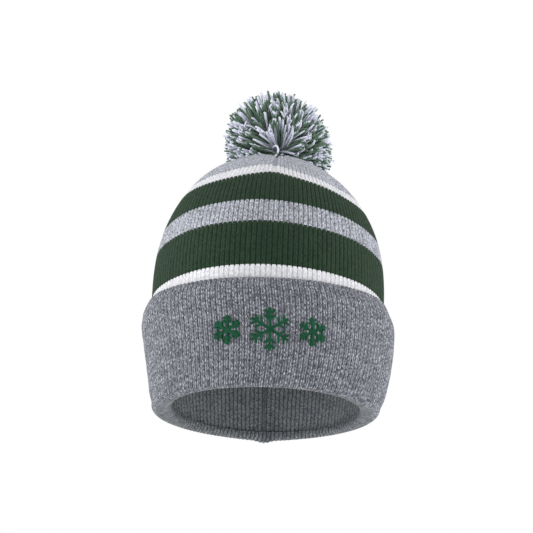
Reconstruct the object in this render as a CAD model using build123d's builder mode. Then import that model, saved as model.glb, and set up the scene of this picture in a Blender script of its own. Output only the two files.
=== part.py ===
"""Pom pom beanie: a striped knitted crown with four darts, a turned-up cuff and a yarn pom.

Millimetres, +Z up along the hat, the wearer faces -Y and +X is to the right of someone facing them.
The origin is the middle of the rim, on the plane that the rim rests on.

The head is longer than it is wide, so every course of knitting is an ellipse whose front-to-back
radius is OVAL times its sideways one.  The crown leans back and to the right as it rises: each
course lies on a plane that is tipped a little more than the one below.
"""
from build123d import *
import math
import os

# Head opening and crown
OVAL = 1.2
FABRIC = 2.8
RIM_HALF_WIDTH = 80.0
CROWN_HALF_WIDTH = 89.0
CROWN_WIDEST_Z = 88.0
CROWN_HEIGHT = 199.0
CROWN_ROUNDNESS = 2.4
CROWN_TIP_BACK = 8.0
CROWN_TIP_RIGHT = 3.5
TIP_RIGHT_REACH = 0.8
TIP_RIGHT_GROWTH = 2.5

# Heights, up the middle of the crown, at which the yarn changes
WALL_BOTTOM = 6.2
STRIPE_HEIGHTS = (70.5, 84.2, 115.5, 131.7, 153.5, 160.6)
CROWN_TOP = 198.4

# Turned-up cuff
FOLD_MIDDLE = 81.0
FOLD_RADIUS = 5.0
FOLD_FLAT = 0.25
CUFF_THICKNESS = 4.0
CUFF_EDGE = 1.6
CUFF_BELLY = 96.2
CUFF_BELLY_Z = 63.0
CUFF_TOP = 77.5
CUFF_TOP_HALF_WIDTH = 92.2

# Embroidered snowflakes
MOTIF_Z = 38.0
MOTIF_SPACING = 30.0
BIG_FLAKE_RADIUS = 15.0
SMALL_FLAKE_RADIUS = 10.0
STITCH_WIDTH = 2.2
THREAD_HEIGHT = 0.8
THREAD_GAP = 0.4
BACKING_GAP = 1.2
BACKING_WIDTH = 96.0
BACKING_HEIGHT = 42.0
BACKING_THICKNESS = 0.5

# Pom and its tie
POM_RADIUS = 42.0
POM_CENTRE_Z = 222.0
POM_SKIRT_ANGLE = -16.0
POM_CORE = 7.0
POM_UNDERSIDE_Z = 204.4
PIVOT_Z = 201.5
TIE_RADIUS = 1.0
TIE_HOLE_RADIUS = 1.8
TIE_KNOT_RADIUS = 2.0
BINDING_Z = 212.0
BINDING_RADIUS = 5.5
BINDING_HEIGHT = 7.0
INSIDE_KNOT_RADIUS = 3.5

# Seams
SEAM_RADIUS = 0.9
SEAM_GAP = 0.8
DART_BOTTOM = 150.0
SEAM_TOP = 188.0


def half_width(height, inset=0.0):
    """Sideways radius of the course at this height up the middle of the crown."""
    widest = CROWN_HALF_WIDTH - inset
    if height < CROWN_WIDEST_Z:
        below = (CROWN_WIDEST_Z - height) / CROWN_WIDEST_Z
        return widest - (CROWN_HALF_WIDTH - RIM_HALF_WIDTH) * below**1.5
    rise = (height - CROWN_WIDEST_Z) / (CROWN_HEIGHT - inset - CROWN_WIDEST_Z)
    return widest * math.sqrt(1 - rise**CROWN_ROUNDNESS)


def tip_back(height):
    """Slope of a course towards the back, in radians."""
    return math.radians(CROWN_TIP_BACK) * (height / CROWN_HEIGHT) ** 2


def tip_right(height):
    """Slope of a course towards the right, in radians."""
    reach = min(1.0, height / CROWN_HEIGHT / TIP_RIGHT_REACH)
    return math.radians(CROWN_TIP_RIGHT) * reach**TIP_RIGHT_GROWTH


def lean(height, steps=60):
    """How far the middle of the course has moved right and back from the rim's middle."""
    step = height / steps
    middles = [(i + 0.5) * step for i in range(steps)]
    right = sum(math.tan(tip_right(z)) * step for z in middles)
    back = sum(math.tan(tip_back(z)) * step for z in middles)
    return right, back


def course_plane(height):
    """The tipped plane that a course of knitting lies on."""
    right, back = lean(height)
    slope_right = math.tan(tip_right(height))
    slope_back = math.tan(tip_back(height))
    return Plane(
        origin=(right, back, height),
        x_dir=(1, 0, -slope_right),
        z_dir=(slope_right, slope_back, 1),
    )


def crown_heights(bottom, top, count=13):
    """Heights for the crown's cross-sections, closer together where it rounds over."""
    quarter = math.pi / 2
    start = math.asin(bottom / CROWN_HEIGHT)
    stop = math.asin(top / CROWN_HEIGHT)
    angles = [start + (stop - start) * i / (count - 1) for i in range(count)]
    return [CROWN_HEIGHT * math.sin(min(angle, quarter)) for angle in angles]


def surface_point(height, turn, inset):
    """Point on the crown's inner side: turn is 0 at the front and grows to the right, in degrees."""
    radius = half_width(height, inset)
    angle = math.radians(turn)
    plane = course_plane(height)
    return plane.from_local_coords((radius * math.sin(angle), -OVAL * radius * math.cos(angle), 0))


def finish(part, label):
    part.label = label
    export_step(part, f"parts/{label}.step")


os.makedirs("parts", exist_ok=True)

# ---------------------------------------------------------------- crown, one band per yarn
with BuildPart() as crown_outside:
    for height in crown_heights(0.0, CROWN_TOP):
        with BuildSketch(course_plane(height)):
            Ellipse(half_width(height), OVAL * half_width(height))
    loft()

with BuildPart() as crown_inside:
    for height in crown_heights(0.0, CROWN_TOP - FABRIC):
        inner = half_width(height, FABRIC)
        with BuildSketch(course_plane(height)):
            Ellipse(inner, OVAL * inner)
    loft()

BAND_NAMES = (
    "under_cuff_wall",
    "lower_white_stripe",
    "lower_green_stripe",
    "middle_grey_band",
    "upper_green_stripe",
    "upper_white_stripe",
    "crown_cap",
)
band_bottoms = (WALL_BOTTOM, *STRIPE_HEIGHTS)
band_tops = (*STRIPE_HEIGHTS, None)

for name, bottom, top in zip(BAND_NAMES, band_bottoms, band_tops):
    with BuildPart() as band:
        add(crown_outside.part)
        add(crown_inside.part, mode=Mode.SUBTRACT)
        split(bisect_by=course_plane(bottom), keep=Keep.TOP)
        if top is not None:
            split(bisect_by=course_plane(top), keep=Keep.BOTTOM)
        else:
            with Locations(course_plane(CROWN_TOP)):
                Cylinder(TIE_HOLE_RADIUS, 4 * FABRIC, mode=Mode.SUBTRACT)
    finish(band.part, name)

# ---------------------------------------------------------------- seams on the inside
SEAM_INSET = FABRIC + SEAM_GAP + SEAM_RADIUS


def seam(bottom, top, turn, count):
    """A round seam allowance that follows the inside of the crown."""
    heights = [bottom + (top - bottom) * i / (count - 1) for i in range(count)]
    points = [surface_point(height, turn, SEAM_INSET) for height in heights]
    with BuildPart() as allowance:
        with BuildLine() as path:
            Spline(*points)
        with BuildSketch(Plane(origin=path.line @ 0, z_dir=path.line % 0)):
            Circle(SEAM_RADIUS)
        sweep()
    return allowance.part


dart_seams = Compound(children=[seam(DART_BOTTOM, SEAM_TOP, turn, 7) for turn in (0, 90, 180, 270)])
finish(dart_seams, "dart_seams")
finish(seam(WALL_BOTTOM + 1, DART_BOTTOM - 2, 180, 9), "back_seam")

# ---------------------------------------------------------------- turned-up cuff
CUFF_BOTTOM = FOLD_RADIUS - FOLD_FLAT

with BuildPart() as rim_fold:
    with BuildSketch(Plane.XZ):
        with Locations((FOLD_MIDDLE, CUFF_BOTTOM)):
            Circle(FOLD_RADIUS)
    revolve(axis=Axis.Z)
    scale(by=(1, OVAL, 1))
    split(bisect_by=Plane.XY, keep=Keep.TOP)
    split(bisect_by=Plane.XY.offset(CUFF_BOTTOM), keep=Keep.BOTTOM)
finish(rim_fold.part, "rim_fold")

CUFF_FOOT = FOLD_MIDDLE + FOLD_RADIUS


def cuff_rise(height):
    """How far up the cuff's shoulder this height is, from 0 at the belly to 1 at the top edge."""
    return max(0.0, (height - CUFF_BELLY_Z) / (CUFF_TOP - CUFF_BELLY_Z))


def cuff_half_width(height):
    """Sideways radius of the cuff's outer face."""
    if height < CUFF_BELLY_Z:
        below = (CUFF_BELLY_Z - height) / (CUFF_BELLY_Z - CUFF_BOTTOM)
        return CUFF_BELLY - (CUFF_BELLY - CUFF_FOOT) * below**1.5
    return CUFF_BELLY - (CUFF_BELLY - CUFF_TOP_HALF_WIDTH) * cuff_rise(height) ** 1.6


def cuff_thickness(height):
    """The doubled knit, which thins to its top edge."""
    return CUFF_THICKNESS - (CUFF_THICKNESS - CUFF_EDGE) * cuff_rise(height) ** 2


CUFF_COURSES = 11
cuff_heights = [CUFF_BOTTOM + (CUFF_TOP - CUFF_BOTTOM) * i / (CUFF_COURSES - 1) for i in range(CUFF_COURSES)]

with BuildPart() as cuff:
    for height in cuff_heights:
        outer = cuff_half_width(height)
        with BuildSketch(Plane.XY.offset(height)):
            Ellipse(outer, OVAL * outer)
    loft()
    for height in cuff_heights:
        inner = cuff_half_width(height) - cuff_thickness(height)
        with BuildSketch(Plane.XY.offset(height)):
            Ellipse(inner, OVAL * inner)
    loft(mode=Mode.SUBTRACT)
finish(cuff.part, "cuff")

# ---------------------------------------------------------------- embroidery on the cuff's front
# Round its front, the cuff is close to a cylinder that leans out a little towards the top.
front_radius = cuff_half_width(MOTIF_Z)
bend_radius = front_radius / OVAL
front_slope = OVAL * (cuff_half_width(MOTIF_Z + 5) - cuff_half_width(MOTIF_Z - 5)) / 10
FRONT = Plane(
    origin=(0, -OVAL * front_radius, MOTIF_Z),
    x_dir=(1, 0, 0),
    z_dir=(0, -1, -front_slope),
)
BEND = Plane(origin=FRONT.from_local_coords((0, 0, -bend_radius)), x_dir=(1, 0, 0), z_dir=FRONT.y_dir)


def front_patch(sketch, outside, inside):
    """A thin piece on the cuff's front with a sketch's outline, between two offsets from its face."""
    with BuildPart() as patch:
        with BuildSketch(FRONT.offset(-bend_radius / 2)):
            add(sketch)
        extrude(amount=bend_radius)
        with BuildSketch(BEND):
            Circle(bend_radius + outside)
            Circle(bend_radius + inside, mode=Mode.SUBTRACT)
        extrude(amount=BACKING_HEIGHT, both=True, mode=Mode.INTERSECT)
    return patch.part


def flake_sketch(radius):
    """A six-armed snowflake with two pairs of twigs on every arm."""
    with BuildSketch() as flake:
        Circle(1.2 * STITCH_WIDTH)
        with PolarLocations(0, 6, start_angle=90):
            with Locations((radius / 2, 0)):
                Rectangle(radius, STITCH_WIDTH)
            for reach, twig in ((0.45, 0.36), (0.72, 0.3)):
                for side in (-1, 1):
                    with Locations(Location((reach * radius, 0), side * 55)):
                        Rectangle(twig * radius, 0.8 * STITCH_WIDTH, align=(Align.MIN, Align.CENTER))
    return flake.sketch


FLAKES = ((0, BIG_FLAKE_RADIUS), (-MOTIF_SPACING, SMALL_FLAKE_RADIUS), (MOTIF_SPACING, SMALL_FLAKE_RADIUS))
flakes = []
for offset, radius in FLAKES:
    flake = flake_sketch(radius).moved(Location((offset, 0)))
    flakes.append(front_patch(flake, THREAD_GAP + THREAD_HEIGHT, THREAD_GAP))
finish(Compound(children=flakes), "snowflake_embroidery")

with BuildSketch() as backing_outline:
    RectangleRounded(BACKING_WIDTH, BACKING_HEIGHT, 6)
backing_face = -OVAL * CUFF_THICKNESS - BACKING_GAP
backing = front_patch(backing_outline.sketch, backing_face, backing_face - BACKING_THICKNESS)
finish(backing, "embroidery_backing")

# ---------------------------------------------------------------- pom and tie, over the crown's apex
apex = lean(CROWN_TOP)
POM_AXIS = Axis((*apex, 0), (0, 0, 1))
POM_PLANE = Plane(origin=(*apex, 0), x_dir=(1, 0, 0), z_dir=(0, -1, 0))

with BuildPart() as pom_yarn:
    with BuildSketch(POM_PLANE):
        with BuildLine():
            ball = CenterArc((0, POM_CENTRE_Z), POM_RADIUS, POM_SKIRT_ANGLE, 90 - POM_SKIRT_ANGLE)
            core_top = BINDING_Z + BINDING_HEIGHT
            underside = Line(ball @ 0, (POM_CORE, POM_UNDERSIDE_Z))
            bore = Line(underside @ 1, (POM_CORE, core_top))
            roof = Line(bore @ 1, (0, core_top))
            Line(roof @ 1, ball @ 1)
        make_face()
    revolve(axis=POM_AXIS)
finish(pom_yarn.part, "pom_yarn")

with BuildPart() as pom_binding:
    with BuildSketch(Plane(origin=(*apex, PIVOT_Z + TIE_KNOT_RADIUS + 0.6))):
        Circle(1.6 * TIE_RADIUS)
    extrude(amount=BINDING_Z - PIVOT_Z - TIE_KNOT_RADIUS - 0.6)
    with BuildSketch(Plane(origin=(*apex, BINDING_Z - BINDING_HEIGHT / 2))):
        Circle(BINDING_RADIUS)
    extrude(amount=BINDING_HEIGHT)
    fillet(pom_binding.faces().sort_by(Axis.Z)[-1].edges(), radius=1.5)
finish(pom_binding.part, "pom_binding")

with BuildPart() as tie_knot:
    with Locations((*apex, PIVOT_Z)):
        Sphere(TIE_KNOT_RADIUS)
finish(tie_knot.part, "tie_knot")

KNOT_Z = CROWN_TOP - FABRIC - INSIDE_KNOT_RADIUS - 1.0
with BuildPart() as inside_knot:
    with Locations((*apex, KNOT_Z)):
        Sphere(INSIDE_KNOT_RADIUS)
finish(inside_knot.part, "inside_knot")

with BuildPart() as tie_cord:
    with BuildSketch(Plane(origin=(*apex, KNOT_Z + INSIDE_KNOT_RADIUS + 0.1))):
        Circle(TIE_RADIUS)
    extrude(amount=PIVOT_Z - TIE_KNOT_RADIUS - KNOT_Z - INSIDE_KNOT_RADIUS - 0.4)
finish(tie_cord.part, "tie_cord")
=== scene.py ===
"""Looks of the pom pom beanie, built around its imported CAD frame.  Metres throughout."""

import math

import bpy
import numpy as np
from mathutils import Matrix, Vector


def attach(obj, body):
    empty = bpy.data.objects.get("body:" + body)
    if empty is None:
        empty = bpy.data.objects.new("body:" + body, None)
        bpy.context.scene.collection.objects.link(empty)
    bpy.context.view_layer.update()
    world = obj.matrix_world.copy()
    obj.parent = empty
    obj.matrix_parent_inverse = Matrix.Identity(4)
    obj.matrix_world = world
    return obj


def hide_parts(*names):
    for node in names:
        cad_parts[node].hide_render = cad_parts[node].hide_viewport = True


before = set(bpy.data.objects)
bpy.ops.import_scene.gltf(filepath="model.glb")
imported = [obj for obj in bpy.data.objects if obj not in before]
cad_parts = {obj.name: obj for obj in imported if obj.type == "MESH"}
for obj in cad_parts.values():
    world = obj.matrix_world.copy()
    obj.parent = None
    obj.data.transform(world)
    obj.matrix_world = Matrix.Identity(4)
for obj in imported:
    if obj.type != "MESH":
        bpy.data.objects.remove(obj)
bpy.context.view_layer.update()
rng = np.random.default_rng(11)

MM = 0.001
TURN = 2 * math.pi

# ------------------------------------------------------------------ shape of the hat
OVAL = 1.2
FABRIC = 2.8 * MM
RIM_HALF_WIDTH = 80 * MM
CROWN_HALF_WIDTH = 89 * MM
CROWN_WIDEST_Z = 88 * MM
CROWN_HEIGHT = 199 * MM
CROWN_TOP = 198.4 * MM
CROWN_ROUNDNESS = 2.4
TIP_BACK = math.radians(8)
TIP_RIGHT = math.radians(3.5)
TIP_RIGHT_REACH = 0.8
TIP_RIGHT_GROWTH = 2.5
WALL_BOTTOM = 5.4 * MM
STRIPES = [h * MM for h in (70.5, 84.2, 115.5, 131.7, 153.5, 160.6)]

RIBS = 148
COLUMNS_PER_RIB = 6
COLUMNS = RIBS * COLUMNS_PER_RIB
RIB_DEPTH = 0.75 * MM
COURSE = 1.45 * MM


def half_width(height, inset=0.0):
    """Sideways radius of the course of knitting at this height up the crown."""
    widest = CROWN_HALF_WIDTH - inset
    below = np.clip((CROWN_WIDEST_Z - height) / CROWN_WIDEST_Z, 0, None)
    rise = np.clip((height - CROWN_WIDEST_Z) / (CROWN_HEIGHT - inset - CROWN_WIDEST_Z), 0, 1)
    lower = widest - (CROWN_HALF_WIDTH - RIM_HALF_WIDTH) * below**1.5
    return np.where(height < CROWN_WIDEST_Z, lower, widest * np.sqrt(1 - rise**CROWN_ROUNDNESS))


def slopes(height):
    """How much a course tips to the right and to the back."""
    reach = np.clip(height / CROWN_HEIGHT, 0, 1)
    right = TIP_RIGHT * np.clip(reach / TIP_RIGHT_REACH, 0, 1) ** TIP_RIGHT_GROWTH
    return np.tan(right), np.tan(TIP_BACK * reach**2)


lean_steps = np.linspace(0, CROWN_HEIGHT, 400)
lean_right, lean_back = (
    np.concatenate([[0], np.cumsum(slope[:-1] * np.diff(lean_steps))]) for slope in slopes(lean_steps)
)
apex_x = float(np.interp(CROWN_TOP, lean_steps, lean_right))
apex_y = float(np.interp(CROWN_TOP, lean_steps, lean_back))

width_steps = half_width(lean_steps)
length_steps = np.concatenate([[0], np.cumsum(np.hypot(np.diff(lean_steps), np.diff(width_steps)))])


def crown_point(height, turn):
    """Point on the crown's outer face; turn is 0 at the front and grows to the right."""
    slope_right, slope_back = slopes(height)
    radius = half_width(height)
    x = radius * np.sin(turn)
    y = -OVAL * radius * np.cos(turn)
    right = np.interp(height, lean_steps, lean_right)
    back = np.interp(height, lean_steps, lean_back)
    return np.stack([x + right, y + back, height - slope_right * x - slope_back * y], -1)


def unit(vectors):
    return vectors / np.maximum(np.linalg.norm(vectors, axis=-1, keepdims=True), 1e-12)


def crown_normal(height, turn):
    """Outward direction of the crown's face."""
    step = 0.2 * MM
    up = crown_point(height + step, turn) - crown_point(height - step, turn)
    round_ = crown_point(height, turn + 0.002) - crown_point(height, turn - 0.002)
    return unit(np.cross(round_, up))


def wobble(turn, along):
    """Soft unevenness of hand-pulled knit, from -1 to 1."""
    return (
        0.45 * np.sin(3 * turn + 1.3 + 14 * along)
        + 0.30 * np.sin(5 * turn - 0.6 - 31 * along)
        + 0.25 * np.sin(9 * turn + 2.1 + 47 * along)
    )


def rib_phase(turn):
    """Position across a rib, from 0 in one groove to 1 in the next."""
    return np.mod(turn * RIBS / TURN + 0.5, 1.0)


def rib_profile(turn):
    """Rounded ribs with narrow grooves, from 0 in the groove to 1 on the ridge."""
    return 1 - np.abs(2 * rib_phase(turn) - 1) ** 2.8


def stitch_relief(turn, course):
    """Rise of the slanting stitch legs on each rib, from 0 to 1."""
    slant = 0.5 * np.abs(2 * rib_phase(turn) - 1)
    return 0.5 + 0.5 * np.cos(TURN * (course + slant))


# ------------------------------------------------------------------ mesh helpers
def make_mesh(name, points, *face_sets):
    """A smooth-shaded mesh object from points and from arrays of faces, each with its own corner count."""
    mesh = bpy.data.meshes.new(name)
    mesh.vertices.add(len(points))
    mesh.vertices.foreach_set("co", np.ascontiguousarray(points, dtype=np.float32).ravel())
    corners = np.concatenate([faces.ravel() for faces in face_sets]).astype(np.int32)
    sizes = np.concatenate([np.full(len(faces), faces.shape[1]) for faces in face_sets])
    mesh.loops.add(len(corners))
    mesh.loops.foreach_set("vertex_index", corners)
    mesh.polygons.add(len(sizes))
    mesh.polygons.foreach_set("loop_start", (np.cumsum(sizes) - sizes).astype(np.int32))
    mesh.update(calc_edges=True)
    mesh.polygons.foreach_set("use_smooth", np.ones(len(sizes), dtype=bool))
    mesh.validate()
    obj = bpy.data.objects.new(name, mesh)
    bpy.context.scene.collection.objects.link(obj)
    return obj


def crease_rows(mesh, row_of_point):
    """Marks as sharp every edge whose two ends share a row number; -1 stands for no row."""
    ends = np.empty(2 * len(mesh.edges), dtype=np.int32)
    mesh.edges.foreach_get("vertices", ends)
    rows = row_of_point[ends.reshape(-1, 2)]
    crease = (rows[:, 0] == rows[:, 1]) & (rows[:, 0] >= 0)
    mesh.attributes.new("sharp_edge", "BOOLEAN", "EDGE").data.foreach_set("value", crease)


def ring_mesh(name, grid, courses, sharp_rows=(), open_ring=False):
    """A closed ring from a grid of points, rows round its section and columns round the hat.

    An open ring's section is closed by one strip of faces from its last row to its first."""
    rows, columns = grid.shape[:2]
    if open_ring:
        sharp_rows = (0, rows - 1)
    index = np.arange(rows * columns).reshape(rows, columns)
    below, above = index, np.roll(index, -1, 0)
    quads = np.stack([below, np.roll(below, -1, 1), np.roll(above, -1, 1), above], -1).reshape(-1, 4)
    across = np.arange(columns + 1) / COLUMNS_PER_RIB
    next_courses = np.roll(courses, -1)
    step = courses[1] - courses[0]
    next_courses[-1] = courses[-1] + step
    u0, v0 = np.meshgrid(across[:-1], courses)
    u1, v1 = np.meshgrid(across[1:], next_courses)
    corners = [np.stack(pair, -1) for pair in ((u0, v0), (u1, v0), (u1, v1), (u0, v1))]
    uvs = np.stack(corners, 2).reshape(-1, 4, 2)
    sharp = np.full(rows * columns, -1)
    for row in sharp_rows:
        sharp[index[row]] = row
    obj = make_mesh(name, grid.reshape(-1, 3), quads)
    obj.data.uv_layers.new(name="stitch").data.foreach_set("uv", uvs.astype(np.float32).ravel())
    crease_rows(obj.data, sharp)
    return obj


def tubes_mesh(name, paths, radii, sides=7, twist=2.4, ply_depth=0.25):
    """Two-ply yarns along many paths at once: paths is (yarns, points, 3), radii (yarns, points)."""
    yarns, count = paths.shape[:2]
    tangent = unit(np.gradient(paths, axis=1))
    helper = np.where(np.abs(tangent[..., 2:3]) < 0.9, [0.0, 0.0, 1.0], [1.0, 0.0, 0.0])
    side = unit(np.cross(tangent, helper))
    other = np.cross(tangent, side)
    angle = TURN * np.arange(sides) / sides
    steps = np.linalg.norm(np.diff(paths, axis=1), axis=-1)
    run = np.concatenate([np.zeros((yarns, 1)), np.cumsum(steps, 1)], 1)
    turned = angle - (twist * run / MM / 2)[..., None]
    lobes = 1 - ply_depth + ply_depth * np.abs(np.cos(turned))
    reach = radii[..., None] * lobes
    ring = (
        paths[:, :, None]
        + (reach * np.cos(angle))[..., None] * side[:, :, None]
        + (reach * np.sin(angle))[..., None] * other[:, :, None]
    )
    points = ring.reshape(-1, 3)
    index = np.arange(yarns * count * sides).reshape(yarns, count, sides)
    low, high = index[:, :-1], index[:, 1:]
    quads = np.stack([low, np.roll(low, -1, 2), np.roll(high, -1, 2), high], -1).reshape(-1, 4)
    tips = paths[:, [0, -1]].reshape(-1, 3)
    tip_index = len(points) + np.arange(2 * yarns).reshape(yarns, 2)
    first, last = index[:, 0], index[:, -1]
    caps = []
    for edge, tip, order in ((first, tip_index[:, 0], -1), (last, tip_index[:, 1], 1)):
        a, b = edge, np.roll(edge, -1, 1)
        pair = [a, b] if order > 0 else [b, a]
        caps.append(np.stack([*pair, np.repeat(tip[:, None], sides, 1)], -1).reshape(-1, 3))
    return make_mesh(name, np.concatenate([points, tips]), quads, np.concatenate(caps))


def smooth_curve(points, count):
    """Points spaced evenly along a Catmull-Rom curve through the given points."""
    points = np.asarray(points, float)
    padded = np.concatenate([[2 * points[0] - points[1]], points, [2 * points[-1] - points[-2]]])
    t = np.linspace(0, 1, 24, endpoint=False)[:, None]
    pieces = []
    for p0, p1, p2, p3 in zip(padded, padded[1:], padded[2:], padded[3:]):
        pieces.append(
            0.5 * (2 * p1 + (p2 - p0) * t + (2 * p0 - 5 * p1 + 4 * p2 - p3) * t**2
                   + (3 * p1 - p0 - 3 * p2 + p3) * t**3)
        )
    dense = np.concatenate([*pieces, points[-1:]])
    run = np.concatenate([[0], np.cumsum(np.linalg.norm(np.diff(dense, axis=0), axis=1))])
    want = np.linspace(0, run[-1], count)
    return np.stack([np.interp(want, run, dense[:, k]) for k in range(dense.shape[1])], -1)


# ------------------------------------------------------------------ materials
class Nodes:
    """Short calls for building a material's nodes."""

    def __init__(self, name):
        self.material = bpy.data.materials.new(name)
        self.material.use_nodes = True
        self.tree = self.material.node_tree
        self.shader = self.tree.nodes["Principled BSDF"]

    def add(self, kind, **settings):
        node = self.tree.nodes.new(kind)
        for key, value in settings.items():
            setattr(node, key, value)
        return node

    def link(self, source, target):
        self.tree.links.new(source, target)

    def feed(self, value, socket):
        if isinstance(value, (int, float, tuple, list)):
            socket.default_value = value
        else:
            self.link(value, socket)

    def math(self, operation, a, b=0.0):
        node = self.add("ShaderNodeMath", operation=operation)
        for value, socket in zip((a, b), node.inputs):
            self.feed(value, socket)
        return node.outputs[0]

    def combine(self, x, y):
        node = self.add("ShaderNodeCombineXYZ")
        for value, socket in zip((x, y), node.inputs):
            self.feed(value, socket)
        return node.outputs[0]

    def noise(self, vector, scale, detail=2.0, roughness=0.5):
        node = self.add("ShaderNodeTexNoise")
        self.link(vector, node.inputs["Vector"])
        node.inputs["Scale"].default_value = scale
        node.inputs["Detail"].default_value = detail
        node.inputs["Roughness"].default_value = roughness
        return node.outputs["Fac"]

    def ramp(self, factor, stops):
        node = self.add("ShaderNodeValToRGB")
        elements = node.color_ramp.elements
        while len(elements) < len(stops):
            elements.new(0.5)
        for element, (place, colour) in zip(elements, stops):
            element.position = place
            element.color = (*colour, 1)
        self.link(factor, node.inputs[0])
        return node.outputs[0]

    def fade_to(self, factor, socket, colour):
        """The colour from socket, replaced by the plain colour as factor grows to 1."""
        node = self.add("ShaderNodeMix", data_type="RGBA", blend_type="MIX")
        self.link(factor, node.inputs[0])
        self.link(socket, node.inputs[6])
        self.feed((*colour, 1), node.inputs[7])
        return node.outputs[2]

    def bump(self, height, distance):
        node = self.add("ShaderNodeBump")
        node.inputs["Strength"].default_value = 1.0
        node.inputs["Distance"].default_value = distance
        self.link(height, node.inputs["Height"])
        return node.outputs["Normal"]

    def cloth(self, colour, normal, sheen):
        """Connects the colour and relief, and sets the matte finish of spun acrylic."""
        self.link(colour, self.shader.inputs["Base Color"])
        self.link(normal, self.shader.inputs["Normal"])
        self.shader.inputs["Roughness"].default_value = 0.92
        self.shader.inputs["Specular IOR Level"].default_value = 0.2
        self.shader.inputs["Sheen Weight"].default_value = sheen
        self.shader.inputs["Sheen Roughness"].default_value = 0.5
        return self.material


KNIT_SHEEN = 0.12
KNIT_RELIEF = 0.35 * MM
FLECK_GRAIN = (8.5, 0.8)
SPECK_GRAIN = (13.0, 2.0)
CLOUD_GRAIN = (0.3, 0.2)
STITCH_SHARE, FLECK_SHARE, SPECK_SHARE, CLOUD_SHARE = 0.12, 0.6, 0.28, 0.12
# Painted shade in the knit: how sharply it gathers in the rib grooves and wale creases, and how dark it
# gets as a share of the middle colour.
PAINTED_GROOVE_SHADE_SHARPNESS = 3.0
PAINTED_CREASE_SHADE_SHARPNESS = 2.2
PAINTED_SHADE_DEPTH = 0.15


def knit_material(name, dark, middle, light, groove, sheen=KNIT_SHEEN, spread=0.16, crease=0.75):
    """Ribbed knit: two wales of slanted stitches on each rib, flecked with light and dark fibre; groove
    and crease set how much painted shade darkens the rib grooves and the creases between wales.
    """
    n = Nodes(name)
    place = n.add("ShaderNodeUVMap", uv_map="stitch").outputs[0]
    parts = n.add("ShaderNodeSeparateXYZ")
    n.link(place, parts.inputs[0])
    across, course = parts.outputs[0], parts.outputs[1]

    def away_from_middle(steps):
        fraction = n.math("FRACT", steps)
        return n.math("ABSOLUTE", n.math("SUBTRACT", n.math("MULTIPLY", fraction, 2.0), 1.0))

    edge = away_from_middle(n.math("ADD", across, 0.5))
    wale = away_from_middle(n.math("MULTIPLY", across, 2.0))
    slanted = n.math("ADD", course, n.math("MULTIPLY", wale, 0.5))
    cell = n.combine(n.math("FLOOR", n.math("MULTIPLY", across, 2.0)), n.math("FLOOR", slanted))
    stitch = n.add("ShaderNodeTexWhiteNoise", noise_dimensions="2D")
    n.link(cell, stitch.inputs["Vector"])

    def grain(size, along, detail):
        wide, tall = size
        stretched = n.combine(n.math("MULTIPLY", across, wide), n.math("MULTIPLY", along, tall))
        return n.noise(stretched, 1.0, detail)

    fleck = grain(FLECK_GRAIN, slanted, 0)
    speck = grain(SPECK_GRAIN, slanted, 0)
    cloud = n.math("SUBTRACT", grain(CLOUD_GRAIN, course, 1), 0.5)
    shade = n.math("MULTIPLY", stitch.outputs["Value"], STITCH_SHARE)
    for layer, share in ((fleck, FLECK_SHARE), (speck, SPECK_SHARE), (cloud, CLOUD_SHARE)):
        shade = n.math("ADD", shade, n.math("MULTIPLY", layer, share))
    colour = n.ramp(shade, [(0.5 - spread, dark), (0.5, middle), (0.5 + spread, light)])
    # Painted shade: the grooves between ribs and the creases between wales fade towards a dark copy of the
    # middle colour, as strong as groove and crease.
    painted_groove_shade = n.math("MULTIPLY", n.math("POWER", edge, PAINTED_GROOVE_SHADE_SHARPNESS), groove)
    seam = n.math("MULTIPLY", n.math("POWER", wale, PAINTED_CREASE_SHADE_SHARPNESS), crease * groove)
    painted_shade_colour = tuple(PAINTED_SHADE_DEPTH * c for c in middle)
    colour = n.fade_to(n.math("MAXIMUM", painted_groove_shade, seam), colour, painted_shade_colour)
    loop = n.math("SINE", n.math("MULTIPLY", n.math("FRACT", slanted), math.pi))
    hollow = n.math("SUBTRACT", 1.0, n.math("POWER", wale, 4.0))
    object_place = n.add("ShaderNodeTexCoord").outputs["Object"]
    fuzz = n.noise(object_place, 2600.0, 2)
    height = n.math("ADD", n.math("MULTIPLY", loop, hollow), n.math("MULTIPLY", fuzz, 0.35))
    return n.cloth(colour, n.bump(height, KNIT_RELIEF), sheen)


YARN_RELIEF = 0.3 * MM


def yarn_material(name, dark, light, twist_scale=900.0, sheen=0.3):
    """Plied yarn: fine fibres along the strand and soft changes of shade from strand to strand."""
    n = Nodes(name)
    place = n.add("ShaderNodeTexCoord").outputs["Object"]
    fibre = n.noise(place, twist_scale, 3, 0.7)
    patch = n.noise(place, 140.0, 2)
    shade = n.math("ADD", n.math("MULTIPLY", fibre, 0.6), n.math("MULTIPLY", patch, 0.4))
    colour = n.ramp(shade, [(0.32, dark), (0.68, light)])
    return n.cloth(colour, n.bump(fibre, YARN_RELIEF), sheen)


def grey(value, blue=1.13):
    return (value * 0.96, value, value * blue)


CUFF_KNIT = knit_material(
    "cuff_marl", (0.016, 0.021, 0.030), (0.148, 0.158, 0.190), (0.52, 0.53, 0.57), 0.95,
    spread=0.18, crease=0.95,
)
BAND_KNIT = knit_material("band_marl", grey(0.06), grey(0.36), grey(0.68), 0.6)
CAP_KNIT = knit_material("cap_marl", grey(0.11), grey(0.345), grey(0.62), 0.2)
WALL_KNIT = knit_material(
    "wall_marl", (0.036, 0.044, 0.052), (0.222, 0.242, 0.266), (0.50, 0.51, 0.52), 1.0,
    spread=0.2, crease=0.15,
)
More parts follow.
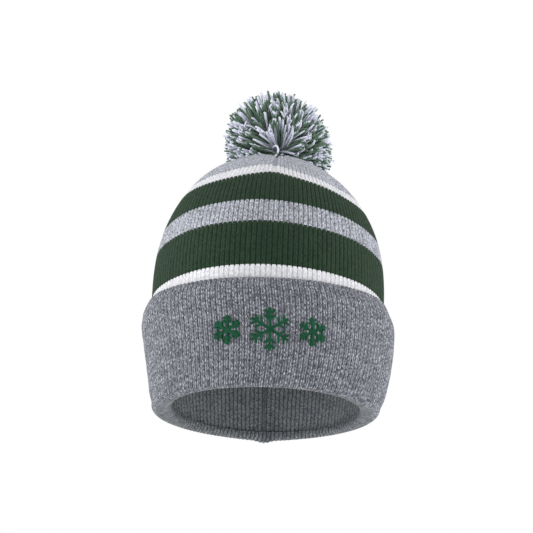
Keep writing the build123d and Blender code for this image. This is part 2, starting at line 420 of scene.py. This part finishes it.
# Painted shade: a darker copy of the wall's marl for the inner half of the rolled rim, which lies in the
# hat's shadow.
PAINTED_SHADE_LIP_KNIT = knit_material(
    "lip_marl_painted_shade", (0.022, 0.028, 0.034), (0.130, 0.142, 0.158), (0.32, 0.33, 0.34), 1.0,
    spread=0.2, crease=0.15,
)
WHITE_KNIT = knit_material("white_knit", (0.46, 0.47, 0.50), (0.65, 0.65, 0.68), (0.76, 0.76, 0.79), 0.12)
GREEN_KNIT = knit_material(
    "green_knit", (0.005, 0.016, 0.007), (0.0115, 0.034, 0.0145), (0.024, 0.058, 0.028), 0.65, 0.04
)
GREEN_YARN = yarn_material("green_yarn", (0.033, 0.076, 0.042), (0.092, 0.165, 0.108))
PALE_YARN = yarn_material("pale_yarn", (0.42, 0.44, 0.53), (0.70, 0.72, 0.82))
SEAM_YARN = yarn_material("seam_yarn", grey(0.08), grey(0.24), sheen=0.03)
STITCH_THREAD = yarn_material("stitch_thread", (0.003, 0.042, 0.019), (0.009, 0.10, 0.045), 2400.0, 0.03)
BACKING_CLOTH = yarn_material("backing_cloth", grey(0.45, 1.0), grey(0.75, 1.0), 400.0, 0.05)


def place_piece(obj, material, body, slot, *nodes):
    """Gives a piece its material and the body it rides on, and hides the CAD nodes it stands for; the slot
    is not used.
    """
    obj.data.materials.clear()
    obj.data.materials.append(material)
    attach(obj, body)
    if nodes:
        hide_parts(*nodes)


# ------------------------------------------------------------------ crown bands
turns = np.arange(COLUMNS) / COLUMNS * TURN
DART_TURNS = np.arange(4) * math.pi / 2


def dart_distance(turn):
    """Turn from the nearest of the four darts, in radians, to the right positive."""
    return (turn + math.pi / 4) % (math.pi / 2) - math.pi / 4


DART_PULL = 6.6 * MM
DART_PULL_FROM = 132 * MM
DART_PULL_OVER = 21.5 * MM
DART_PEAK_TURN = 0.33
GROOVE_DROP = 1.3 * MM
CAP_STEP = 1.5 * MM


def boundary(height, turn, grooved=True):
    """Height of a colour change: it climbs to a point at each dart and drops in the grooves.

    The cap's edge also stands a little higher to the left of each dart than to its right."""
    side = dart_distance(turn)
    near = np.abs(side)
    pull = DART_PULL * np.clip((height - DART_PULL_FROM) / DART_PULL_OVER, 0, 1.4)
    rise = pull * (np.exp(-near / DART_PEAK_TURN) - 0.25)
    groove = -GROOVE_DROP * (rib_profile(turn) < 0.3) if grooved else 0
    step = 0.0
    if height == STRIPES[-1]:
        step = CAP_STEP * np.where(side > 0, -1, 1) * (1 - np.exp(-near / 0.1)) * np.exp(-near / 0.6)
    return height + rise + groove + step


DART_SINK_FROM = 152 * MM
DART_SINK_OVER = 16 * MM
DART_NOTCH, DART_NOTCH_WIDTH = 1.5 * MM, 1.5 * MM
DART_DIP, DART_DIP_WIDTH = 0.8 * MM, 7 * MM


def dart_sink(height, turn):
    """How far the fabric sinks into the four closing seams: a narrow notch in a wide, shallow dip."""
    reach = np.clip((height - DART_SINK_FROM) / DART_SINK_OVER, 0, 1)
    away = np.abs(dart_distance(turn)) * half_width(height)
    notch = DART_NOTCH * np.exp(-((away / DART_NOTCH_WIDTH) ** 2))
    return reach * (notch + DART_DIP * np.exp(-away / DART_DIP_WIDTH))


RIB_FADE_WIDTH = 30 * MM
FLAT_FROM = 146 * MM
FLAT_OVER = 14 * MM
FLATTENING = 0.6
UNEVENNESS = 0.7 * MM
SETTLING = 20 * MM
STITCH_RELIEF = 0.22 * MM
ROW_HEIGHT = 0.45 * MM


def crowding(height):
    """How full the ribs stand where the crown narrows towards its apex."""
    return np.clip(half_width(height) / RIB_FADE_WIDTH, 0.05, 1)


def flatness(height):
    """The gathered top of the crown is pulled nearly smooth: 0 where the ribs are full, 1 at the cap."""
    return np.clip((height - FLAT_FROM) / FLAT_OVER, 0, 1)


def settled(height):
    """Size of the soft unevenness: none at the rim, where the fold holds the wall in shape."""
    return UNEVENNESS * np.clip((height - WALL_BOTTOM) / SETTLING, 0, 1)


TIE_HOLE_SHARE = 0.16
TOP_ROWS = 6
TOP_RISE = 0.3 * MM


def closed_to_hole(grid, course):
    """Adds rows that close the crown's top ring in to the tie's hole."""
    middle = grid[-1].mean(0)
    share = np.linspace(1, TIE_HOLE_SHARE, TOP_ROWS + 1)[1:, None]
    added = middle + (grid[-1] - middle) * share[..., None]
    added[..., 2] = middle[2] + (added[..., 2] - middle[2]) * share + TOP_RISE * (1 - share**2)
    spacing = half_width(CROWN_TOP) * (1 - share[:, 0]) / COURSE
    return np.concatenate([grid, added]), np.concatenate([course, course[-1] + spacing])


def crown_band(name, bottom, top, material, slot, fullness=1.0):
    """One colour of the crown: a closed ring, ribbed on both faces."""
    is_cap = top > STRIPES[-1] + MM
    low = boundary(bottom, turns, grooved=bottom != WALL_BOTTOM)
    high = np.full(COLUMNS, top) if is_cap else boundary(top, turns)
    outer_rows = int(np.clip((top - bottom) / ROW_HEIGHT, 12, 76))
    inner_rows = max(4, outer_rows // 4)
    share = np.linspace(0, 1, outer_rows)
    if is_cap:
        share = np.sin(share * math.pi / 2)
    inner_share = np.linspace(1, 0, inner_rows)
    outer_height = low + (high - low) * share[:, None]
    inner_height = low + (high - low) * inner_share[:, None]
    course = np.interp(outer_height.mean(1), lean_steps, length_steps) / COURSE
    inner_course = np.interp(inner_height.mean(1), lean_steps, length_steps) / COURSE
    turn = np.broadcast_to(turns, outer_height.shape)
    fade = crowding(outer_height) * (1 - FLATTENING * flatness(outer_height)) * fullness
    lift = RIB_DEPTH * fade * (rib_profile(turn) - 1)
    lift = lift + STITCH_RELIEF * fade * stitch_relief(turn, course[:, None])
    lift = lift + settled(outer_height) * wobble(turn, outer_height) - dart_sink(outer_height, turn)
    outer = crown_point(outer_height, turn) + lift[..., None] * crown_normal(outer_height, turn)
    turn = np.broadcast_to(turns, inner_height.shape)
    depth = FABRIC - 0.8 * RIB_DEPTH * crowding(inner_height) * rib_profile(turn)
    depth = depth - settled(inner_height) * wobble(turn, inner_height) + dart_sink(inner_height, turn)
    inner = crown_point(inner_height, turn) - depth[..., None] * crown_normal(inner_height, turn)
    if is_cap:
        outer, course = closed_to_hole(outer, course)
        inner, inner_course = (rows[::-1] for rows in closed_to_hole(inner[::-1], inner_course[::-1]))
    grid = np.concatenate([outer, inner])
    courses = np.concatenate([course, inner_course])
    ring = ring_mesh(name, grid, courses, (0, len(outer) - 1, len(outer), len(grid) - 1))
    place_piece(ring, material, "hat", slot, name)


crown_band("under_cuff_wall", WALL_BOTTOM, STRIPES[0], WALL_KNIT, "lining_knit")
crown_band("lower_white_stripe", STRIPES[0], STRIPES[1], WHITE_KNIT, "white_knit", 0.6)
crown_band("lower_green_stripe", STRIPES[1], STRIPES[2], GREEN_KNIT, "green_knit")
crown_band("middle_grey_band", STRIPES[2], STRIPES[3], BAND_KNIT, "grey_knit")
crown_band("upper_green_stripe", STRIPES[3], STRIPES[4], GREEN_KNIT, "green_knit")
crown_band("upper_white_stripe", STRIPES[4], STRIPES[5], WHITE_KNIT, "white_knit")
crown_band("crown_cap", STRIPES[5], CROWN_TOP, CAP_KNIT, "cap_knit")

# ------------------------------------------------------------------ cuff and rolled rim
FOLD_MIDDLE = 81 * MM
FOLD_RADIUS = 5 * MM
FOLD_CENTRE_Z = 4.75 * MM
CUFF_THICKNESS = 4 * MM
CUFF_TOP = 77.5 * MM
CUFF_OUTLINE = [(r * MM, z * MM) for r, z in ((89.2, 15.75), (93.5, 39.0), (96.2, 60.0), (95.6, 67.0))]


def cuff_section(rows):
    """The cuff's closed section: inner lip, rolled rim, outer wall, top edge and back down inside."""
    roll = [
        (FOLD_MIDDLE + FOLD_RADIUS * math.cos(a), FOLD_CENTRE_Z + FOLD_RADIUS * math.sin(a))
        for a in np.radians([205, 237, 270, 303, 335])
    ]
    outside = [(FOLD_MIDDLE - 0.88 * FOLD_RADIUS, FOLD_CENTRE_Z + 1.4 * MM), *roll]
    outside += [(FOLD_MIDDLE + FOLD_RADIUS + 0.5 * MM, FOLD_CENTRE_Z + 2.5 * MM), *CUFF_OUTLINE]
    top = [(r * MM, CUFF_TOP - drop * MM) for r, drop in ((93.0, 3.6), (91.2, 0.3), (90.3, 1.4))]
    inside = [(r - CUFF_THICKNESS, z) for r, z in reversed(CUFF_OUTLINE[:-1])]
    inside = [(90.6 * MM, CUFF_TOP - 6 * MM), *inside, (83.0 * MM, 6.5 * MM), (82.0 * MM, 5.0 * MM)]
    return smooth_curve([*outside, *top, *inside], rows)


CUFF_ROWS = 104
CUFF_LEAN = 2.4 * MM
CUFF_LEAN_REACH = 70 * MM
CUFF_EDGE_FRONT = 76.7
CUFF_EDGE_SIDE_RISE = 4.0
BELLY_HEIGHT = 60 * MM
CUFF_RELIEF = 0.15 * MM
BACK_SEAM_SAG = 3.0 * MM
BACK_RADIUS = 82  # millimetres, to turn an angle at the back into a distance round the rim
PAINTED_SHADE_LIP_SHIFT = 1.6 * MM
section = cuff_section(CUFF_ROWS)
section_run = np.concatenate([[0], np.cumsum(np.linalg.norm(np.diff(section, axis=0), axis=1))])
section_turn = unit(np.gradient(section, axis=0))
section_out = np.stack([section_turn[:, 1], -section_turn[:, 0]], -1)
LOWEST_ROW = int(section[:20, 1].argmin())


def cuff_frame(radius, height, turn):
    """Point of the cuff: its top edge rides higher at the sides, and its wall is pushed to the right."""
    share = np.clip(height / CUFF_TOP, 0, 1) ** 2
    edge = (CUFF_EDGE_FRONT + CUFF_EDGE_SIDE_RISE * np.sin(turn) ** 2) * MM / CUFF_TOP
    raised = height * (1 + (edge - 1) * share)
    lean = CUFF_LEAN * np.sin(math.pi * np.clip(height / CUFF_LEAN_REACH, 0, 1)) ** 0.7
    return np.stack([radius * np.sin(turn) + lean, -OVAL * radius * np.cos(turn), raised], -1)


def cuff_unevenness(turn, height):
    """Soft unevenness of the cuff's wall, smaller towards the fold."""
    belly = np.clip(height / BELLY_HEIGHT, 0, 1)
    return (0.25 + 0.75 * belly) * MM * wobble(turn + 0.8, height * 0.4)


def cuff_grid():
    """Every point of the cuff's section, all the way round the hat.

    The rows near the fold slide a little along it, outwards at the back, where it is seen from below, so
    that the darker lip of painted shade reaches further round the fold there.
    The lip rolls in at the sides and tips up at the back, and the back seam sags below the rim."""
    turn = np.broadcast_to(turns, (CUFF_ROWS, COLUMNS))
    near_fold = np.interp(section_run, section_run[[0, LOWEST_ROW, 2 * LOWEST_ROW]], [0, 1, 0])
    # Painted shade: this slide moves the edge of the darker lip outwards round the fold at the back and
    # inwards at the front.
    run = section_run[:, None] - PAINTED_SHADE_LIP_SHIFT * near_fold[:, None] * np.cos(turn)
    radius, height = (np.interp(run, section_run, section[:, k]) for k in (0, 1))
    out_x, out_z = (np.interp(run, section_run, section_out[:, k]) for k in (0, 1))
    belly = np.clip(height / BELLY_HEIGHT, 0, 1)
    waviness = cuff_unevenness(turn, height)
    outer_side = (out_x > -0.2) | (height < 6 * MM)
    lift = RIB_DEPTH * (rib_profile(turn) - 1) * np.where(outer_side, 1, 0.6)
    lift = lift + CUFF_RELIEF * stitch_relief(turn, section_run[:, None] / COURSE)
    inner_lip = np.clip((FOLD_MIDDLE - radius) / FOLD_RADIUS, 0, 1) * (height < 8 * MM)
    side = np.abs(np.sin(turn))
    roll_in = (1.5 * side**2 + 4.0 * side**3) * MM
    behind = np.clip(0.2 - np.cos(turn), 0, 1) * np.clip(1 - height / (12 * MM), 0, 1)
    tipped_up = np.maximum(0.45 * (radius - FOLD_MIDDLE + 2.5 * MM) - 0.4 * MM, -0.2 * MM) * behind
    radius = radius + lift * out_x + waviness * belly - (roll_in + 0.3 * MM) * inner_lip
    height = height + lift * out_z + tipped_up
    from_back = (turn - math.pi) * BACK_RADIUS
    low = np.clip(1 - height / (6 * MM), 0, 1)
    bulge = 0.62 * np.exp(-((from_back / 6) ** 2)) + 0.38 * np.exp(-((from_back / 26) ** 2))
    height = height - BACK_SEAM_SAG * low * bulge
    return cuff_frame(radius, height, turn)


def build_cuff():
    """The turned-up wall, and the inner half of the rolled rim in a darker copy of the lining's marl, as
    painted shade.
    """
    grid = cuff_grid()
    courses = section_run / COURSE
    mouth = ring_mesh("rim_fold", grid[: LOWEST_ROW + 1], courses[: LOWEST_ROW + 1], open_ring=True)
    place_piece(mouth, PAINTED_SHADE_LIP_KNIT, "turned_up_cuff", "cuff_knit", "rim_fold")
    wall = ring_mesh("cuff", grid[LOWEST_ROW:], courses[LOWEST_ROW:], open_ring=True)
    place_piece(wall, CUFF_KNIT, "turned_up_cuff", "cuff_knit", "cuff")


build_cuff()

# ------------------------------------------------------------------ embroidered snowflakes
MOTIF_Z = 38 * MM
MOTIF_SPACING = 30 * MM
BIG_FLAKE = 15 * MM
SMALL_FLAKE = 10 * MM
BAR_WIDTH = 2.2 * MM
THREAD_PITCH = 0.38 * MM
THREAD_RADIUS = 0.24 * MM


def cuff_face(x, z, rise):
    """Point on the cuff's front, x round its face and z up it, lifted off the ribs by rise."""
    outer = section[LOWEST_ROW + 4 : 60]
    radius = np.interp(z, outer[:, 1], outer[:, 0])
    slope = (np.interp(z + MM, outer[:, 1], outer[:, 0]) - radius) / MM
    turn = np.arcsin(np.clip(x / radius, -1, 1))
    point = cuff_frame(radius + cuff_unevenness(turn, z), z, turn)
    outward = unit(np.stack([OVAL * np.sin(turn), -np.cos(turn), -slope * np.ones_like(turn)], -1))
    return point + rise[..., None] * outward


def satin_bar(start, heading, length, width):
    """Threads laid side by side across a bar; returns their ends and middles on the flat."""
    count = max(3, int(length / THREAD_PITCH))
    along = (np.arange(count) + 0.5) / count * length
    forward = np.array([math.cos(heading), math.sin(heading)])
    across = np.array([-forward[1], forward[0]])
    ends = np.array([-0.5, -0.3, 0.0, 0.3, 0.5])
    rise = np.array([-0.35, 0.55, 0.8, 0.55, -0.35]) * MM
    slant = 0.25 * width * ends
    flat = (
        np.asarray(start)[None, None]
        + (along[:, None] + slant[None])[..., None] * forward
        + (ends * width)[None, :, None] * across
    )
    jitter = rng.normal(0, 0.03 * MM, (count, 1))
    return flat, rise[None] + jitter


def flake_threads(centre, radius):
    """All threads of one six-armed snowflake."""
    bars = []
    for arm in range(6):
        heading = math.pi / 2 + arm * math.pi / 3
        forward = np.array([math.cos(heading), math.sin(heading)])
        bars.append((centre, heading, radius, BAR_WIDTH))
        for reach, twig in ((0.45, 0.36), (0.72, 0.30)):
            for side in (-1, 1):
                start = np.asarray(centre) + reach * radius * forward
                bars.append((start, heading + side * math.radians(55), twig * radius, 0.8 * BAR_WIDTH))
    return [satin_bar(*bar) for bar in bars]


def build_embroidery():
    threads = flake_threads((0.0, MOTIF_Z), BIG_FLAKE)
    for side in (-1, 1):
        threads += flake_threads((side * MOTIF_SPACING, MOTIF_Z), SMALL_FLAKE)
    flat = np.concatenate([t[0] for t in threads])
    rise = np.concatenate([t[1] for t in threads])
    paths = cuff_face(flat[..., 0], flat[..., 1], rise)
    radii = np.full(paths.shape[:2], THREAD_RADIUS)
    obj = tubes_mesh("snowflake_embroidery", paths, radii, sides=5, ply_depth=0.1)
    place_piece(obj, STITCH_THREAD, "turned_up_cuff", "embroidery_thread", "snowflake_embroidery")


build_embroidery()

# ------------------------------------------------------------------ pom
POM_CENTRE = np.array([apex_x, apex_y, 222 * MM])
POM_RADIUS = 43 * MM
POM_HEART = np.array([apex_x, apex_y, 211 * MM])
POM_SLANT = 0.05
POM_SPREAD = 0.08
POM_DROOP = 2.5 * MM
GOLDEN_SHARE = 0.6180339887
GREEN_SHARE = 0.41
STRAY_SHARE = 0.16
CLUMPS = 500
STRANDS_PER_CLUMP = 4
STRAND_POINTS = 10


def dome_clearance(points, gap):
    """Lifts points that are below the crown's top so that strands lie on it."""
    x, y, z = points[..., 0] - apex_x, points[..., 1] - apex_y, points[..., 2]
    out = np.hypot(x, y / OVAL)
    heights = np.linspace(STRIPES[3], CROWN_TOP, 80)
    widths = half_width(heights)
    surface = np.interp(out, widths[::-1], heights[::-1])
    tilt_right, tilt_back = slopes(np.array(CROWN_TOP))
    surface = surface - tilt_right * x - tilt_back * y
    lifted = points.copy()
    lifted[..., 2] = np.maximum(z, surface + gap)
    return lifted


def sideways(directions, count):
    """Random directions at right angles to the given ones."""
    loose = rng.normal(0, 1, (count, 3))
    return unit(loose - (loose * directions).sum(-1, keepdims=True) * directions)


def pom_strands():
    """Paths of the pom's cut strands: clumps of one colour that spread and curl away from the binding."""
    k = np.arange(CLUMPS) + 0.5
    up = 1 - 1.5 * k / CLUMPS
    round_ = k * TURN * GOLDEN_SHARE
    clump = np.stack([np.sqrt(1 - up**2) * np.cos(round_), np.sqrt(1 - up**2) * np.sin(round_), up], -1)
    clump = unit(clump + rng.normal(0, 0.07, clump.shape))
    parting = unit(np.array([0.0, -1.0, -0.15]))
    faces_front = np.clip((clump * parting).sum(1) - 0.35, 0, 1)[:, None]
    away = unit(clump - (clump * parting).sum(1, keepdims=True) * parting)
    swirl = unit(sideways(clump, CLUMPS) + 2.0 * faces_front * away)
    swirl_size = rng.uniform(3, 14, (CLUMPS, 1)) * MM + 26 * MM * faces_front

    heading = np.repeat(clump, STRANDS_PER_CLUMP, axis=0)
    heading = unit(heading + rng.normal(0, 0.085, heading.shape))
    count = len(heading)
    down = (POM_HEART[2] - POM_CENTRE[2]) * heading[:, 2]
    to_ball = -down + np.sqrt(down**2 + POM_RADIUS**2 - (POM_HEART[2] - POM_CENTRE[2]) ** 2)
    reach = to_ball * (1 + rng.normal(-0.02, 0.035, count))
    share = np.linspace(0.1, 1, STRAND_POINTS)
    paths = heading[:, None] * (reach[:, None] * share)[..., None]
    bend = np.repeat(swirl * swirl_size, STRANDS_PER_CLUMP, axis=0)
    bend = bend + sideways(heading, count) * rng.uniform(0.5, 5, (count, 1)) * MM
    paths = paths + bend[:, None] * (share**2 - 0.45 * share)[None, :, None]
    phase = rng.uniform(0, TURN, count)[:, None]
    ripple = rng.uniform(0.2, 0.8, count)[:, None] * MM * np.sin(phase + 8 * share) * share
    paths = paths + sideways(heading, count)[:, None] * ripple[..., None]
    paths[..., 2] -= (POM_DROOP * np.sqrt(1 - heading[:, 2] ** 2))[:, None] * share**2
    paths = paths + POM_HEART
    outward = paths - POM_CENTRE
    far = np.linalg.norm(outward, axis=-1, keepdims=True)
    limit = (POM_RADIUS * (1 + rng.normal(0, 0.03, count)))[:, None, None]
    paths = POM_CENTRE + outward * np.minimum(1, limit / far)
    drop = POM_CENTRE[2] - paths[..., 2]
    spread = POM_SPREAD * np.clip(drop / POM_RADIUS, 0, 1)
    paths[..., 0] += POM_SLANT * drop + spread * (paths[..., 0] - POM_CENTRE[0])
    gap = rng.uniform(0.8, 3.4, count)[:, None] * MM
    paths = dome_clearance(paths, gap)
    thickness = rng.uniform(0.78, 1.05, count)[:, None] * MM
    swell = np.interp(share, [0.1, 0.4, 0.9, 1.0], [0.8, 1.0, 1.0, 0.75])
    return paths, thickness * swell


def build_pom():
    paths, radii = pom_strands()
    green = np.repeat(rng.random(CLUMPS) < GREEN_SHARE, STRANDS_PER_CLUMP)
    green = green ^ (rng.random(len(paths)) < STRAY_SHARE)
    kinds = (("pom_green_strands", green, GREEN_YARN), ("pom_pale_strands", ~green, PALE_YARN))
    for name, chosen, material in kinds:
        obj = tubes_mesh(name, paths[chosen], radii[chosen], twist=1.7, ply_depth=0.3)
        place_piece(obj, material, "pom", "pom_yarn", "pom_yarn")


build_pom()


# ------------------------------------------------------------------ tie, binding and knots
def yarn(name, path, radius, body, *nodes):
    """One pale plied yarn along a path, which stands for the given CAD nodes."""
    path = np.asarray(path)[None]
    obj = tubes_mesh(name, path, np.full(path.shape[:2], radius), sides=8, twist=1.4)
    place_piece(obj, PALE_YARN, body, "tie_yarn", *nodes)


def wound_ball(centre, radius, strand, winds):
    """A path that winds round a ball, turning a little with every wind."""
    t = np.linspace(0, winds * TURN, winds * 18)
    drift = 0.618 * t
    first = np.stack([np.cos(drift), np.sin(drift), np.zeros_like(t)], -1)
    second = np.stack([0.3 * np.sin(drift), -0.3 * np.cos(drift), np.ones_like(t)], -1)
    around = np.cos(t)[:, None] * first + np.sin(t)[:, None] * unit(second)
    return np.asarray(centre) + (radius - strand) * unit(around)


TIE_RADIUS = 1.0 * MM
CORD_Z = (194.7, 199.2)
PIVOT_Z = 201.5 * MM
STEM_Z = 204.1 * MM
INSIDE_KNOT_Z = 191.1 * MM
BINDING_Z = 212.0 * MM
BINDING_RADIUS = 5.5 * MM
BINDING_HEIGHT = 7.0 * MM
BINDING_WINDS = 6
LOOP_POINTS = (
    (-3, -12, 211), (-4, -27, 209), (-1, -38, 206.5), (0.5, -41.5, 202), (-1, -41, 197.5), (-6, -39, 195),
)


def build_tie():
    """The two knots, the cord through the crown, the binding and its stem, and the small loop in front."""
    apex = np.array([apex_x, apex_y, 0])
    level = np.array([0, 0, 1])
    inside_knot = wound_ball(apex + INSIDE_KNOT_Z * level, 3.5 * MM, 0.9 * MM, 12)
    yarn("inside_knot", inside_knot, 0.9 * MM, "hat", "inside_knot")
    knot = wound_ball(apex + PIVOT_Z * level, 2.0 * MM, 0.65 * MM, 9)
    yarn("tie_knot", knot, 0.65 * MM, "tie", "tie_knot")
    cord = apex + np.linspace(*CORD_Z, 12)[:, None] * MM * level
    yarn("tie_cord", cord, TIE_RADIUS, "hat", "tie_cord")
    t = np.linspace(0, 1, 160)
    winding = BINDING_WINDS * TURN * t
    drum = np.stack([np.cos(winding), np.sin(winding), np.zeros_like(t)], -1) * (BINDING_RADIUS - 0.7 * MM)
    drum[:, 2] = BINDING_Z + (t - 0.5) * (BINDING_HEIGHT - 1.4 * MM)
    stem = apex + np.linspace(STEM_Z, BINDING_Z - 0.4 * BINDING_HEIGHT, 10)[:, None] * level
    route = np.concatenate([stem, apex + drum[:1], apex + drum])
    yarn("pom_binding", route, 0.8 * MM, "binding", "pom_binding")
    loop = smooth_curve([apex + np.array(point) * MM for point in LOOP_POINTS], 40)
    yarn("tie_loop", loop, 0.85 * MM, "pom")


build_tie()


# ------------------------------------------------------------------ seams and backing
SEAM_RADIUS = 0.7 * MM
SEAM_DEPTH = FABRIC + 0.8 * MM + SEAM_RADIUS
OVERLOCK_PITCH = 2.2 * MM
OVERLOCK_RADIUS = 0.28 * MM


def seam_paths(bottom, top, turn):
    """The middle of a seam allowance and the overlock thread that winds round it."""
    height = np.linspace(bottom, top, int((top - bottom) / (0.22 * MM)))
    angle = np.full_like(height, turn)
    outward = crown_normal(height, angle)
    middle = crown_point(height, angle) - SEAM_DEPTH * outward
    along = unit(np.gradient(middle, axis=0))
    across = np.cross(outward, along)
    wind = (TURN * height / OVERLOCK_PITCH)[:, None]
    thread = middle + SEAM_RADIUS * (np.cos(wind) * across * 1.15 + np.sin(wind) * outward * 0.75)
    return middle, thread


def build_seam(name, bottom, top, seam_turns):
    """One piece with a seam allowance and its overlock thread at each of the given turns."""
    pairs = [seam_paths(bottom, top, turn) for turn in seam_turns]
    paths = np.array([path for pair in pairs for path in pair])
    radii = np.array([[r] * paths.shape[1] for _ in pairs for r in (0.75 * SEAM_RADIUS, OVERLOCK_RADIUS)])
    obj = tubes_mesh(name, paths, radii, sides=6, ply_depth=0.12)
    place_piece(obj, SEAM_YARN, "hat", "seam_thread", name)


build_seam("back_seam", WALL_BOTTOM + MM, 148 * MM, [math.pi])
build_seam("dart_seams", 150 * MM, 188 * MM, DART_TURNS)


BACKING_HALF_SIZE = (48 * MM, 21 * MM)
BACKING_DEPTHS = (6.2, 6.7)
BACKING_ROWS = 14


def build_backing():
    """The stiff cloth behind the stitches: a thin sheet with rounded corners, curved with the cuff."""
    around = np.linspace(0, TURN, 96, endpoint=False)
    half_wide, half_high = BACKING_HALF_SIZE
    rounding = 8
    reach = np.abs(np.cos(around) / half_wide) ** rounding + np.abs(np.sin(around) / half_high) ** rounding
    reach = reach ** (-1 / rounding)
    out = np.linspace(0.001, 1, BACKING_ROWS)
    share = np.concatenate([out, np.linspace(1, 0.001, BACKING_ROWS)])[:, None]
    x = share * reach * np.cos(around)
    z = MOTIF_Z + share * reach * np.sin(around)
    depth = np.repeat(BACKING_DEPTHS, BACKING_ROWS)[:, None] * MM
    grid = cuff_face(x, z, -depth * np.ones_like(x))
    edge_rows = (BACKING_ROWS - 1, BACKING_ROWS)
    sheet = ring_mesh("embroidery_backing", grid, np.arange(2.0 * BACKING_ROWS), edge_rows)
    place_piece(sheet, BACKING_CLOTH, "turned_up_cuff", "backing_cloth", "embroidery_backing")


build_backing()

# ------------------------------------------------------------------ stage, light and camera
VIEW_RISE = math.radians(17)
VIEW_ROLL = math.radians(1.4)
VIEW_DISTANCE = 1.3
VIEW_WIDTH = 0.413
VIEW_CENTRE = Vector((-0.0012, 0, 0.1175))


def add_camera():
    data = bpy.data.cameras.new("camera")
    data.sensor_width = 36
    data.lens = 36 * VIEW_DISTANCE / VIEW_WIDTH
    data.clip_end = 20
    camera = bpy.data.objects.new("camera", data)
    bpy.context.scene.collection.objects.link(camera)
    forward = Vector((0, math.cos(VIEW_RISE), math.sin(VIEW_RISE)))
    up = Vector((0, -math.sin(VIEW_RISE), math.cos(VIEW_RISE)))
    right = Vector((1, 0, 0))
    c, s = math.cos(VIEW_ROLL), math.sin(VIEW_ROLL)
    rolled_right, rolled_up = right * c + up * s, up * c - right * s
    turn = Matrix((rolled_right, rolled_up, -forward)).transposed()
    camera.matrix_world = Matrix.Translation(VIEW_CENTRE - forward * VIEW_DISTANCE) @ turn.to_4x4()
    bpy.context.scene.camera = camera


def add_light(name, place, size, power, aim=(0, 0, 0.11)):
    data = bpy.data.lights.new(name, "AREA")
    data.shape = "RECTANGLE"
    data.size, data.size_y = size
    data.energy = power
    light = bpy.data.objects.new(name, data)
    light.location = place
    light.rotation_euler = (Vector(aim) - Vector(place)).to_track_quat("-Z", "Y").to_euler()
    bpy.context.scene.collection.objects.link(light)


def add_stage():
    """A pale floor far below the hat, which is shown as worn and so seen a little from below."""
    bpy.ops.mesh.primitive_plane_add(size=14, location=(0, 0, -0.55))
    floor = bpy.context.object
    floor.name = "floor"
    n = Nodes("pale_floor")
    place = n.add("ShaderNodeTexCoord").outputs["Object"]
    tone = n.ramp(n.noise(place, 1.5, 2), [(0.3, (0.86, 0.86, 0.86)), (0.7, (0.90, 0.90, 0.90))])
    n.link(tone, n.shader.inputs["Base Color"])
    n.shader.inputs["Roughness"].default_value = 0.8
    floor.data.materials.append(n.material)


def add_world():
    world = bpy.data.worlds.new("studio")
    world.use_nodes = True
    background = world.node_tree.nodes["Background"]
    background.inputs["Color"].default_value = (1, 1, 1, 1)
    background.inputs["Strength"].default_value = 1.0
    bpy.context.scene.world = world


add_world()
add_stage()
add_light("left_softbox", (-1.1, -0.15, 0.2), (0.7, 1.2), 11.0)
add_light("right_softbox", (1.1, -0.15, 0.2), (0.7, 1.2), 9.0)
add_light("top_softbox", (0, -0.5, 1.3), (1.0, 1.0), 3.0)
add_light("low_softbox", (0, -0.9, -0.42), (0.8, 0.5), 2.5, (0, 0.05, 0.03))
add_camera()
bpy.context.scene.view_settings.view_transform = "Standard"
